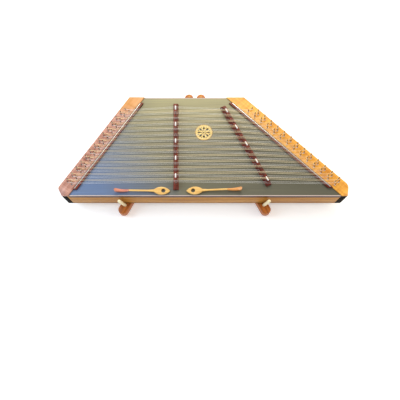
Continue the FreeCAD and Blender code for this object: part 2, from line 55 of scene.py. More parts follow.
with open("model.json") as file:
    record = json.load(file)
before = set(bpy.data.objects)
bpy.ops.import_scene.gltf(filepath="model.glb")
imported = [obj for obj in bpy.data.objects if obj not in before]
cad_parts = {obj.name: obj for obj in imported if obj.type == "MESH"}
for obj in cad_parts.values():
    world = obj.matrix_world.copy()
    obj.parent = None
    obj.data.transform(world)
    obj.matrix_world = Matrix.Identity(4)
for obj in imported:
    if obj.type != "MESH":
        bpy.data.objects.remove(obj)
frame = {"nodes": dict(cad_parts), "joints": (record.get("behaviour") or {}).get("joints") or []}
CAD_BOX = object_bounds()

MM = 0.001
MERGE_REACH = 0.01 * MM
FLAT_ANGLE = math.radians(0.5)
SOFT_ANGLE = math.radians(35)
HOLE_EDGE = 2.2 * MM    # edges shorter than this are facets of a drilled hole and stay sharp

# How fast a pattern in wood changes along the grain and across it.
LONG_GRAIN = (1.0, 9.0, 9.0)
DRIFT = (0.6, 2.0, 2.0)
FIBRE = (14.0, 420.0, 420.0)
CURL = (95.0, 12.0, 12.0)
PORE = (60.0, 1300.0, 1300.0)
BOARD_GRAIN = (3.0, 260.0, 260.0)
BOARD_FIBRE = (25.0, 1100.0, 1100.0)
BOARD_BANDS = (0.8, 42.0, 42.0)
FELT_HAIR = (1500.0, 300.0, 900.0)

PORE_DARKNESS = 0.4

# The board's colour runs from the left to the right side and, by the slant, towards the far edge: dark
# stain with painted reflections, cool at the left and warm in the middle.
BOARD_SLANT = 0.7
BOARD_REFLECTION_STOPS = (0.02, 0.3, 0.95)
BOARD_STREAK = (0.04, 0.04, 0.042, 1.0)

# Its painted warm reflection, in metres: where it begins and is full towards the far edge, where its
# middle lies across the board, and how far from there it starts to fade and has gone.
FAR_REFLECTION_DEPTH = (-0.05, 0.25)
FAR_REFLECTION_MIDDLE = -0.03
FAR_REFLECTION_FADE = (0.12, 0.34)

# The rosette is browned about its cuts: petals in a ring, each ring's radius and spread, the rim.
ROSETTE_PETALS = 8
BURNT_RINGS = ((18 * MM, 9 * MM), (8 * MM, 4 * MM))
BURNT_RIM = 3 * MM

# Straight steps in one turn of a wire's loop, twist and coil.
LOOP_STEPS = 14
TWIST_STEPS = 8
COIL_STEPS = 12


# Shader building.

class Value:
    """A number on its way through a material; arithmetic on it adds Math nodes."""

    def __init__(self, finish, socket):
        self.finish = finish
        self.socket = socket

    def math(self, operation, first, second):
        return self.finish.node("ShaderNodeMath", {"operation": operation}, [first, second])

    def __add__(self, other):
        return self.math("ADD", self, other)

    __radd__ = __add__

    def __mul__(self, other):
        return self.math("MULTIPLY", self, other)

    __rmul__ = __mul__

    def __sub__(self, other):
        return self.math("SUBTRACT", self, other)

    def __rsub__(self, other):
        return self.math("SUBTRACT", other, self)

    def __truediv__(self, other):
        return self.math("DIVIDE", self, other)

    def angle_to(self, other):
        """Angle of the point whose height is this and whose reach is the other."""
        return self.math("ARCTAN2", self, other)

    def cosine(self):
        return self.math("COSINE", self, 0.0)

    def size(self):
        """The number without its sign."""
        return self.math("ABSOLUTE", self, 0.0)

    def root(self):
        return self.math("SQRT", self, 0.0)


class Finish:
    """A new material, and the one way to add nodes to it."""

    def __init__(self, name, **uniform):
        self.material = bpy.data.materials.new(name)
        self.material.use_nodes = True
        self.tree = self.material.node_tree
        self.shader = self.tree.nodes["Principled BSDF"]
        for socket, number in uniform.items():
            self.shader.inputs[socket.replace("_", " ")].default_value = number

    def node(self, kind, settings, inputs, output=0):
        """Adds a node: settings first, then inputs by place or name; gives one output."""
        node = self.tree.nodes.new(kind)
        for key, setting in settings.items():
            if key == "stops":
                self.set_stops(node.color_ramp, setting)
            else:
                setattr(node, key, setting)
        pairs = inputs.items() if isinstance(inputs, dict) else enumerate(inputs)
        for key, value in pairs:
            self.feed(node.inputs[key], value)
        return Value(self, node.outputs[output])

    def set_stops(self, ramp, stops):
        while len(ramp.elements) < len(stops):
            ramp.elements.new(1.0)
        for element, (position, colour) in zip(ramp.elements, stops):
            element.position = position
            element.color = colour

    def feed(self, socket, value):
        if isinstance(value, Value):
            self.tree.links.new(value.socket, socket)
        else:
            socket.default_value = value

    def drive(self, name, value):
        """Lets a value that varies drive one of the shader's own sockets."""
        self.feed(self.shader.inputs[name], value)

    def place(self, turn=0.0, scale=(1, 1, 1), centre=(0, 0, 0)):
        """Object coordinates about a centre, turned about Z in degrees, then stretched."""
        where = self.node("ShaderNodeTexCoord", {}, {}, "Object")
        moved = self.node("ShaderNodeVectorMath", {"operation": "SUBTRACT"}, [where, centre])
        turned = self.node("ShaderNodeMapping", {}, {"Vector": moved,
                                                     "Rotation": (0, 0, math.radians(-turn))})
        return self.node("ShaderNodeVectorMath", {"operation": "MULTIPLY"}, [turned, scale])

    def axes(self, place):
        """The three numbers of a place."""
        return [self.node("ShaderNodeSeparateXYZ", {}, [place], axis) for axis in "XYZ"]

    def noise(self, place, scale, detail=2.0, roughness=0.5):
        return self.node("ShaderNodeTexNoise", {}, {"Vector": place, "Scale": scale, "Detail": detail,
                                                    "Roughness": roughness}, "Fac")

    def blend(self, amount, first, second):
        """Mixes two colours."""
        mix = {"data_type": "RGBA"}
        return self.node("ShaderNodeMix", mix, {0: amount, 6: first, 7: second}, 2)

    def ramp(self, amount, stops):
        return self.node("ShaderNodeValToRGB", {"stops": stops}, {"Fac": amount}, "Color")

    def range(self, value, low, high):
        """Spreads values between low and high over 0 to 1."""
        settings = {"interpolation_type": "SMOOTHSTEP"}
        return self.node("ShaderNodeMapRange", settings, {"Value": value, "From Min": low,
                                                          "From Max": high}, "Result")

    def bump(self, height, strength, distance):
        """Gives the surface its fine relief."""
        bump = self.node("ShaderNodeBump", {}, {"Height": height, "Strength": strength,
                                                "Distance": distance}, "Normal")
        self.drive("Normal", bump)


def toned(colour, share):
    """A colour made darker or lighter, its channels multiplied by a share."""
    return tuple(channel * share for channel in colour[:3]) + (1.0,)


def wood(name, pale, dark, turn=0.0, figure=0.0, gloss=0.35, coat=0.3, rings=55.0, streak=0.5,
         sheen=0.5, overlay=None):
    """Planed and finished wood: rings and streaks along the grain, pores, and cross figure."""
    finish = Finish(name, Coat_Weight=coat, Coat_Roughness=0.22, IOR=1.48, Specular_IOR_Level=sheen)
    drift = finish.noise(finish.place(turn, DRIFT), 7.0, 2.0)
    y, z = finish.axes(finish.place(turn))[1:]
    wander = finish.noise(finish.place(turn, LONG_GRAIN), 3.2, 3.0)
    phase = (y + z * 0.6 + wander * 0.05) * rings
    ring = finish.node("ShaderNodeMath", {"operation": "PINGPONG"}, [phase, 0.5]) * 2.0
    fibre = finish.noise(finish.place(turn, FIBRE), 1.0, 3.0, 0.65)
    tone = ring * (0.55 * streak) + fibre * 0.55 + drift * 0.45 - 0.28 * streak
    if figure:
        curl = finish.noise(finish.place(turn, CURL), 1.0, 3.0, 0.55)
        tone = tone + (curl - 0.5) * figure
    colour = finish.blend(finish.range(tone, 0.15, 0.85), dark, pale)
    pits = finish.range(finish.noise(finish.place(turn, PORE), 1.0, 2.0, 0.7), 0.60, 0.72)
    colour = finish.blend(pits * PORE_DARKNESS, colour, toned(dark, 0.45))
    if overlay:
        colour = overlay(finish, colour)
    finish.drive("Base Color", colour)
    finish.drive("Roughness", gloss + fibre * 0.12 + pits * 0.15)
    finish.bump(fibre * 0.4 - pits, 0.25, 0.00012)
    return finish.material


def smooth(name, colour, roughness, metallic=0.0, mottle=0.08, grain=900.0, depth=0.00003, **uniform):
    """Even stuff such as metal, moulded plastic, rubber or ebonised wood, with a fine unevenness."""
    finish = Finish(name, **uniform)
    cloud = finish.noise(finish.place(), 60.0, 3.0)
    fine = finish.noise(finish.place(), grain, 2.0)
    finish.drive("Base Color", finish.blend(cloud, toned(colour, 1 - 2 * mottle), colour))
    finish.drive("Roughness", fine * 0.12 + cloud * 0.08 + (roughness - 0.1))
    finish.drive("Metallic", metallic)
    finish.bump(fine, 0.3, depth)
    return finish.material


def stained_board(name, cool, neutral, warm, far, reach):
    """Dark satin stain on straight-grained wood, with painted reflections: cool to warm across, and a
    golden painted reflection towards the far edge.
    """
    finish = Finish(name, Coat_Weight=0.5, Coat_Roughness=0.3, IOR=1.5)
    x, y = finish.axes(finish.place())[:2]
    # Painted reflections: the stain's colour drifts from cool blue at the left to warm in the middle.
    side = (x + y * BOARD_SLANT) / (2 * reach) + 0.5
    base = finish.ramp(side, list(zip(BOARD_REFLECTION_STOPS, (cool, neutral, warm))))
    # Painted reflection of a warm light: gold towards the far edge, strongest in the middle.
    painted_far_reflection = finish.range(y, *FAR_REFLECTION_DEPTH) * (1 - finish.range((x - FAR_REFLECTION_MIDDLE).size(), *FAR_REFLECTION_FADE))
    base = finish.blend(painted_far_reflection * 0.8, base, far)
    grain = finish.noise(finish.place(scale=BOARD_GRAIN), 1.0, 4.0, 0.6)
    fibre = finish.noise(finish.place(scale=BOARD_FIBRE), 1.0, 2.0, 0.6)
    bands = finish.noise(finish.place(scale=BOARD_BANDS), 1.0, 3.0, 0.5)
    streaks = finish.range(grain * 0.75 + bands * 0.25, 0.35, 0.65)
    finish.drive("Base Color", finish.blend(streaks * 0.25, base, BOARD_STREAK))
    finish.drive("Roughness", fibre * 0.14 + streaks * 0.08 + 0.3)
    finish.bump(fibre, 0.3, 0.00008)
    return finish.material


def pale_lip(level, tint):
    """Overlay for a strip whose top shows a painted highlight, a pale line above a level."""
    def overlay(finish, colour):
        height = finish.axes(finish.place())[2]
        return finish.blend(finish.range(height, level - 0.4 * MM, level), colour, tint)
    return overlay


def painted_warm_end(start, end, tint):
    """Overlay for a block whose wood is painted golden between two depths, a painted warm light on its far
    end.
    """
    def overlay(finish, colour):
        depth = finish.axes(finish.place())[1]
        return finish.blend(finish.range(depth, start, end) * 0.6, colour, tint)
    return overlay


def scorched(centre, folds, rings, rim, tint):
    """Overlay for a pierced disc: wood browned about rings of cuts and towards its rim."""
    def overlay(finish, colour):
        x, y = finish.axes(finish.place(centre=centre))[:2]
        reach = (x * x + y * y).root()
        petals = finish.range((y.angle_to(x) * folds).cosine(), -0.2, 0.9)
        burnt = finish.range(reach, rim, rim + 1.5 * MM)
        for radius, spread in rings:
            near = 1 - finish.range((reach - radius).size(), spread * 0.4, spread)
            burnt = burnt + near * petals * 0.8
        return finish.blend(burnt, colour, tint)
    return overlay


def felt(name, colour):
    """Pressed felt: short tangled fibres."""
    finish = Finish(name, Sheen_Weight=0.5, Sheen_Roughness=0.5)
    hairs = finish.noise(finish.place(30.0, FELT_HAIR), 1.0, 4.0, 0.7)
    tufts = finish.noise(finish.place(), 260.0, 3.0)
    finish.drive("Base Color", finish.blend(hairs * tufts, colour, toned(colour, 2.2)))
    finish.drive("Roughness", hairs * 0.1 + 0.85)
    finish.bump(hairs + tufts, 0.6, 0.0003)
    return finish.material


# Modelling helpers.

def deselect():
    """Leaves edit mode and lets go of everything."""
    if bpy.context.mode != "OBJECT":
        bpy.ops.object.mode_set(mode="OBJECT")
    bpy.ops.object.select_all(action="DESELECT")


def only(piece):
    """Makes a piece the one that operators act on."""
    deselect()
    piece.select_set(True)
    bpy.context.view_layer.objects.active = piece


def apply_place(piece):
    """Moves a piece's place, turn and scale into its mesh."""
    only(piece)
    bpy.ops.object.transform_apply(location=True, rotation=True, scale=True)


def select_faces(piece, wanted):
    """Opens a piece in edit mode with only the wanted faces selected."""
    only(piece)
    bpy.ops.object.mode_set(mode="EDIT")
    bpy.ops.mesh.select_mode(type="FACE")
    bpy.ops.mesh.select_all(action="DESELECT")
    bpy.ops.object.mode_set(mode="OBJECT")
    for face in piece.data.polygons:
        face.select = bool(wanted(face))
    bpy.ops.object.mode_set(mode="EDIT")


def soften(piece, width):
    """Rounds a piece's sharp edges with a bevel and shades it smooth."""
    only(piece)
    bevel = piece.modifiers.new("rounding", "BEVEL")
    bevel.width = width
    bevel.segments = 2
    bevel.limit_method = "ANGLE"
    bevel.angle_limit = math.radians(40)
    bpy.ops.object.modifier_apply(modifier="rounding")
    bpy.ops.object.shade_smooth_by_angle(angle=SOFT_ANGLE)


def show(piece, name, body, nodes, material):
    """Names a finished piece, gives it its finish, puts it on its body and hides the CAD nodes it stands
    for.
    """
    piece.name = name
    piece.data.name = name
    piece.data.materials.clear()
    piece.data.materials.append(material)
    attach(piece, body)
    if nodes:
        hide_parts(*nodes)


def coat_node(node, material):
    """Gives a CAD node that stays in view its finish."""
    slots = frame["nodes"][node].data.materials
    slots.clear()
    slots.append(material)


def copy_of_node(node):
    """A copy of a CAD node with its loose triangles merged into clean faces."""
    piece = bpy.data.objects.new(node, frame["nodes"][node].data.copy())
    bpy.context.collection.objects.link(piece)
    only(piece)
    bpy.ops.object.mode_set(mode="EDIT")
    bpy.ops.mesh.select_mode(type="VERT")
    bpy.ops.mesh.select_all(action="SELECT")
    bpy.ops.mesh.remove_doubles(threshold=MERGE_REACH)
    bpy.ops.mesh.customdata_custom_splitnormals_clear()
    bpy.ops.mesh.dissolve_limited(angle_limit=FLAT_ANGLE)
    bpy.ops.object.mode_set(mode="OBJECT")
    return piece


def rounded_node(node, width, shortest=0.0, segments=2, sharpness=30.0):
    """A copy of a CAD node whose sharp edges are rounded, apart from those shorter than a length."""
    piece = copy_of_node(node)
    bpy.ops.object.mode_set(mode="EDIT")
    bpy.ops.mesh.select_all(action="DESELECT")
    bpy.ops.mesh.select_mode(type="EDGE")
    bpy.ops.mesh.edges_select_sharp(sharpness=math.radians(sharpness))
    bpy.ops.object.mode_set(mode="OBJECT")
    places = piece.data.vertices
    for edge in piece.data.edges:
        start, end = edge.vertices
        if edge.select and (places[start].co - places[end].co).length < shortest:
            edge.select = False
    bpy.ops.object.mode_set(mode="EDIT")
    bpy.ops.mesh.bevel(offset=width, segments=segments, affect="EDGES", clamp_overlap=True)
    bpy.ops.object.mode_set(mode="OBJECT")
    bpy.ops.object.shade_smooth_by_angle(angle=SOFT_ANGLE)
    return piece


def solids_of(node):
    """The corner points of each separate solid of a CAD node, from front to back."""
    mesh = frame["nodes"][node].data
    above = {}    # each point leads to another of its solid, and the last one to itself

    def top(key):
        while above[key] != key:
            above[key] = above[above[key]]
            key = above[key]
        return key

    for face in mesh.polygons:
        keys = [tuple(round(number, 6) for number in mesh.vertices[i].co) for i in face.vertices]
        for key in keys:
            above.setdefault(key, key)
        for key in keys[1:]:
            above[top(key)] = top(keys[0])
    groups = {}
    for key in above:
        groups.setdefault(top(key), []).append(Vector(key))
    return sorted(groups.values(), key=lambda points: (middle(points).y, middle(points).x))


def extent(points):
    """Lowest and highest corner of some points."""
    low = Vector([min(point[axis] for point in points) for axis in range(3)])
    high = Vector([max(point[axis] for point in points) for axis in range(3)])
    return low, high


def middle(points):
    """Middle of the box round some points."""
    low, high = extent(points)
    return (low + high) / 2


def rod(length, radius, soft, sides=16):
    """An upright round bar about the origin with rounded ends."""
    deselect()
    bpy.ops.mesh.primitive_cylinder_add(vertices=sides, radius=radius, depth=length)
    piece = bpy.context.object
    soften(piece, soft)
    return piece


def copies(pattern, places, name):
    """Copies a pattern to each place, each with its own mesh, and joins them."""
    made = []
    for place in places:
        piece = bpy.data.objects.new(name, pattern.data.copy())
        piece.data.transform(place)
        bpy.context.collection.objects.link(piece)
        made.append(piece)
    bpy.data.objects.remove(pattern)
    only(made[0])
    for piece in made:
        piece.select_set(True)
    if len(made) > 1:
        bpy.ops.object.join()
    return made[0]


def wires(name, routes, diameter):
    """Round wires along lists of points, as one mesh."""
    data = bpy.data.curves.new(name, "CURVE")
    data.dimensions = "3D"
    data.bevel_depth = diameter / 2
    data.bevel_resolution = 1
    data.use_fill_caps = True
    for route in routes:
        spline = data.splines.new("POLY")
        spline.points.add(len(route) - 1)
        for point, place in zip(spline.points, route):
            point.co = (*place, 1.0)
    piece = bpy.data.objects.new(name, data)
    bpy.context.collection.objects.link(piece)
    only(piece)
    bpy.ops.object.convert(target="MESH")
    piece = bpy.context.object
    bpy.ops.object.shade_smooth()
    return piece


# Sizes and colours that a user may change.

def a_colour(label, text, default):
    return bpy.props.FloatVectorProperty(name=label, description=text, default=default,
                                         size=len(default), subtype="COLOR", min=0.0, max=1.0)


def a_length(label, text, default):
    return bpy.props.FloatProperty(name=label, description=text, default=default, min=0.0,
                                   unit="LENGTH", precision=5)


def a_number(label, text, default, unit="NONE"):
    return bpy.props.FloatProperty(name=label, description=text, default=default, unit=unit)


def a_place(label, text, default):
    return bpy.props.FloatVectorProperty(name=label, description=text, default=default, size=3,
                                         subtype="TRANSLATION")


class DulcimerWoods(bpy.types.PropertyGroup):
    """Colours of the sound box."""
    # The board's colours are its stain with painted reflections: blue at the left, warm in the middle,
    # gold at the far edge.
    board_left_with_reflection: a_colour("Board left", "Soundboard at the hitch pin side", (0.115, 0.18, 0.34, 1.0))
    board_middle_with_reflection: a_colour("Board middle", "Soundboard in the middle", (0.15, 0.14, 0.085, 1.0))
    # Painted reflection: the gold that the board takes towards its far edge.
    board_far_reflection: a_colour("Board, far edge", "Soundboard towards the far edge", (0.38, 0.33, 0.13, 1.0))
    board_right_with_reflection: a_colour("Board right", "Soundboard at the tuning pin side", (0.065, 0.062, 0.036, 1.0))
    # The left top is painted pinker and the right more orange, tints that stand in for the cool left and
    # warm right light.
    top_left_pale_cool_lit: a_colour("Left top, pale", "Pale figure of the left block top", (0.70, 0.37, 0.28, 1.0))
    top_left_dark_cool_lit: a_colour("Left top, dark", "Dark figure of the left block top", (0.30, 0.11, 0.07, 1.0))
    # Painted warm light: the left top's far end turns golden between these two depths.
    far_end_warm_light: a_colour("Far end", "Golden far end of the left block top", (0.80, 0.36, 0.06, 1.0))
    far_end_warm_light_reach: a_length("Far end reach", "Where the gold begins, from the far edge", 90 * MM)
    far_end_warm_light_full: a_length("Far end full", "Where the gold is full, from the far edge", 30 * MM)
    top_right_pale_warm_lit: a_colour("Right top, pale", "Pale figure of the right block top",
                             (1.0, 0.52, 0.08, 1.0))
    top_right_dark_warm_lit: a_colour("Right top, dark", "Dark figure of the right block top",
                             (0.62, 0.22, 0.02, 1.0))
    rail_pale: a_colour("Rail, pale", "Pale grain of the front and back rails", (0.60, 0.29, 0.055, 1.0))
    rail_dark: a_colour("Rail, dark", "Dark grain of the front and back rails", (0.36, 0.14, 0.02, 1.0))
    edge_pale: a_colour("Edge, pale", "Pale grain of the edge mouldings", (0.07, 0.012, 0.008, 1.0))
    edge_dark: a_colour("Edge, dark", "Dark grain of the edge mouldings", (0.03, 0.004, 0.003, 1.0))
    # Painted highlight along the mouldings' top edge, where the rounded edge catches the light.
    lip: a_colour("Lip", "Pale line along the top of the edge mouldings", (0.62, 0.50, 0.46, 1.0))
    lip_drop: a_length("Lip depth", "Depth of the pale line on the mouldings' sides", 0.5 * MM)
    core_pale: a_colour("Core, pale", "Pale grain of the pin blocks", (0.42, 0.24, 0.12, 1.0))
    core_dark: a_colour("Core, dark", "Dark grain of the pin blocks", (0.24, 0.12, 0.06, 1.0))
    back_pale: a_colour("Back, pale", "Pale grain of the back board", (0.50, 0.32, 0.18, 1.0))
    back_dark: a_colour("Back, dark", "Dark grain of the back board", (0.30, 0.17, 0.09, 1.0))
    inner_pale: a_colour("Inside, pale", "Pale grain of braces and ledges", (0.80, 0.64, 0.42, 1.0))
    inner_dark: a_colour("Inside, dark", "Dark grain of braces and ledges", (0.62, 0.44, 0.25, 1.0))
    black: a_colour("Black", "Ebonised corner caps and binding", (0.006, 0.004, 0.004, 1.0))
    edge_round: a_length("Edge rounding", "Rounding of the box's outer edges", 1.6 * MM)


class DulcimerFittings(bpy.types.PropertyGroup):
    """Bridges, pins and strings."""
    bridge_pale: a_colour("Bridge, pale", "Pale grain of the bridges", (0.27, 0.045, 0.022, 1.0))
    bridge_dark: a_colour("Bridge, dark", "Dark grain of the bridges", (0.08, 0.010, 0.006, 1.0))
    bridge_round: a_length("Bridge rounding", "Rounding of the bridges' edges", 0.8 * MM)
    marker_white: a_colour("Markers", "Caps of the marked courses", (0.93, 0.92, 0.89, 1.0))
    plain_cap: a_colour("Plain caps", "Caps of the other courses", (0.10, 0.02, 0.012, 1.0))
    steel: a_colour("Steel", "Treble wire", (0.95, 0.95, 0.96, 1.0))
    bronze: a_colour("Bronze", "Bass wire", (1.0, 0.84, 0.56, 1.0))
    # Painted glint: the wires glow of their own so that they read bright against the board.
    painted_string_glint: a_number("String glint", "Light that the bright wires add of their own", 0.22)
    hitch: a_colour("Hitch pins", "Blued steel of the hitch pins", (0.07, 0.055, 0.05, 1.0))
    # Painted reflection: the nickel pins are tinted gold as if mirroring the orange block top.
    nickel: a_colour("Tuning pins", "Nickel plate of the tuning pins", (0.50, 0.38, 0.22, 1.0))
    rod: a_colour("Side rods", "Metal rods on the side bridges", (0.90, 0.88, 0.82, 1.0))
    hitch_round: a_length("Hitch pin rounding", "Rounding of the hitch pins' ends", 0.6 * MM)
    coil_turns: a_number("Coil turns", "Turns of wire on a tuning pin", 3.5)
    twist_length: a_length("Twist", "Length of the twist behind a hitch loop", 14 * MM)
    shank_round: a_length("Shank rounding", "Rounding of a tuning pin's round part", 0.5 * MM)
    square_round: a_length("Square rounding", "Rounding of a tuning pin's square head", 0.35 * MM)
    head_length: a_length("Pin square", "Length of a tuning pin's square head", 9 * MM)
    head_side: a_length("Pin square side", "Side of the square head at its foot", 3.4 * MM)
    head_taper: a_number("Pin taper", "Width of a tuning pin's tip against its square's foot", 0.86)


class DulcimerLoose(bpy.types.PropertyGroup):
    """Rosette, hammers and stand."""
    rosette_pale: a_colour("Rosette, pale", "Pale grain of the rosette", (1.0, 0.82, 0.34, 1.0))
    rosette_dark: a_colour("Rosette, dark", "Dark grain of the rosette", (0.85, 0.58, 0.17, 1.0))
    rosette_burnt: a_colour("Rosette, burnt", "Wood browned by the cuts", (0.34, 0.17, 0.05, 1.0))
    rosette_round: a_length("Rosette rounding", "Rounding of the rosette's cuts", 0.3 * MM)
    hammer_pale: a_colour("Hammer, pale", "Pale grain of the handles", (0.95, 0.62, 0.20, 1.0))
    hammer_dark: a_colour("Hammer, dark", "Dark grain of the handles", (0.72, 0.38, 0.09, 1.0))
    # The heads are one wood: the left's pinker red is a painted tint of the cool left light, the right's
    # orange of the warm light.
    head_left_pale_cool_lit: a_colour("Left head, pale", "Pale grain of the left head", (0.80, 0.30, 0.20, 1.0))
    head_left_dark_cool_lit: a_colour("Left head, dark", "Dark grain of the left head", (0.50, 0.15, 0.09, 1.0))
    head_right_pale_warm_lit: a_colour("Right head, pale", "Pale grain of the right head", (0.90, 0.42, 0.12, 1.0))
    head_right_dark_warm_lit: a_colour("Right head, dark", "Dark grain of the right head", (0.60, 0.22, 0.05, 1.0))
    handle_round: a_length("Handle rounding", "Rounding of the hammers' handles", 0.9 * MM)
    head_round: a_length("Head rounding", "Rounding of the hammers' heads", 2.0 * MM)
    pad_round: a_length("Pad rounding", "Rounding of the hammers' pads", 0.3 * MM)
    leather: a_colour("Leather", "Pads on the hammers' faces", (0.24, 0.13, 0.07, 1.0))
    arm_pale: a_colour("Arm, pale", "Pale grain of the stand's arms", (0.60, 0.18, 0.025, 1.0))
    arm_dark: a_colour("Arm, dark", "Dark grain of the stand's arms", (0.32, 0.08, 0.010, 1.0))
    peg_pale: a_colour("Peg, pale", "Pale grain of the pegs", (0.95, 0.88, 0.62, 1.0))
    peg_dark: a_colour("Peg, dark", "Dark grain of the pegs", (0.80, 0.66, 0.38, 1.0))
    hardware: a_colour("Hardware", "Bolts, washers and nuts", (0.36, 0.17, 0.06, 1.0))
    rubber: a_colour("Rubber", "Feet of the stand", (0.03, 0.03, 0.03, 1.0))
    felt: a_colour("Felt", "Strips on the arms", (0.03, 0.03, 0.032, 1.0))
    arm_round: a_length("Arm rounding", "Rounding of the arms' long edges", 3.0 * MM)


class DulcimerStage(bpy.types.PropertyGroup):
    """Camera, floor and lights."""
    eye: a_place("Eye", "Camera's place from the board's middle", (-0.0175, -0.6804, 1.3755))
    tilt: bpy.props.FloatProperty(name="Tilt", description="Camera's lean from straight down",
                                  default=math.radians(18.5), subtype="ANGLE")
    lens: a_number("Lens", "Focal length of the camera, in millimetres", 36.0, "CAMERA")
    sensor: a_number("Sensor", "Width of the camera's sensor, in millimetres", 36.0, "CAMERA")
    floor_width: a_length("Floor", "Width of the floor", 24.0)
    floor_colour: a_colour("Floor's colour", "Colour of the floor", (0.93, 0.93, 0.93, 1.0))
    floor_glow: a_number("Floor glow", "Light given off by the pale floor", 0.35)
    sky: a_number("Sky", "Brightness of the surroundings", 0.48)
    back_place: a_place("Back light's place", "Soft light behind the box", (0.1, 2.2, 2.2))
    back_size: a_length("Back light's size", "Side of the square light", 2.0)
    back_watts: a_number("Back light's power", "Power of the light", 62.0, "POWER")
    back_tint: a_colour("Back light's tint", "Warm tint of the light", (1.0, 0.93, 0.72))
    left_place: a_place("Left light's place", "Soft light on the left", (-1.7, -0.1, 1.5))
    left_size: a_length("Left light's size", "Side of the square light", 1.2)
    left_watts: a_number("Left light's power", "Power of the light", 26.0, "POWER")
    left_tint: a_colour("Left light's tint", "Cool tint of the light", (0.66, 0.82, 1.0))
    right_place: a_place("Right light's place", "Soft light on the right", (1.9, -0.2, 1.7))
    right_size: a_length("Right light's size", "Side of the square light", 1.2)
    right_watts: a_number("Right light's power", "Power of the light", 16.0, "POWER")
    right_tint: a_colour("Right light's tint", "Warm tint of the light", (1.0, 0.86, 0.66))


# Finishes shared by several pieces.

def side_angle(side):
    """Direction of a side of the box from +X, in degrees."""
    low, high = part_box("side_rod_" + side)
    lean = math.degrees(math.atan2(high.y - low.y, high.x - low.x))
    return lean if side == "left" else 180.0 - lean


def arm_angle(side):
    """Direction of an arm of the stand from +X, in degrees."""
    run = middle(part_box("pivot_bolt_" + side)) - middle(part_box("peg_" + side))
    return math.degrees(math.atan2(run.y, run.x))


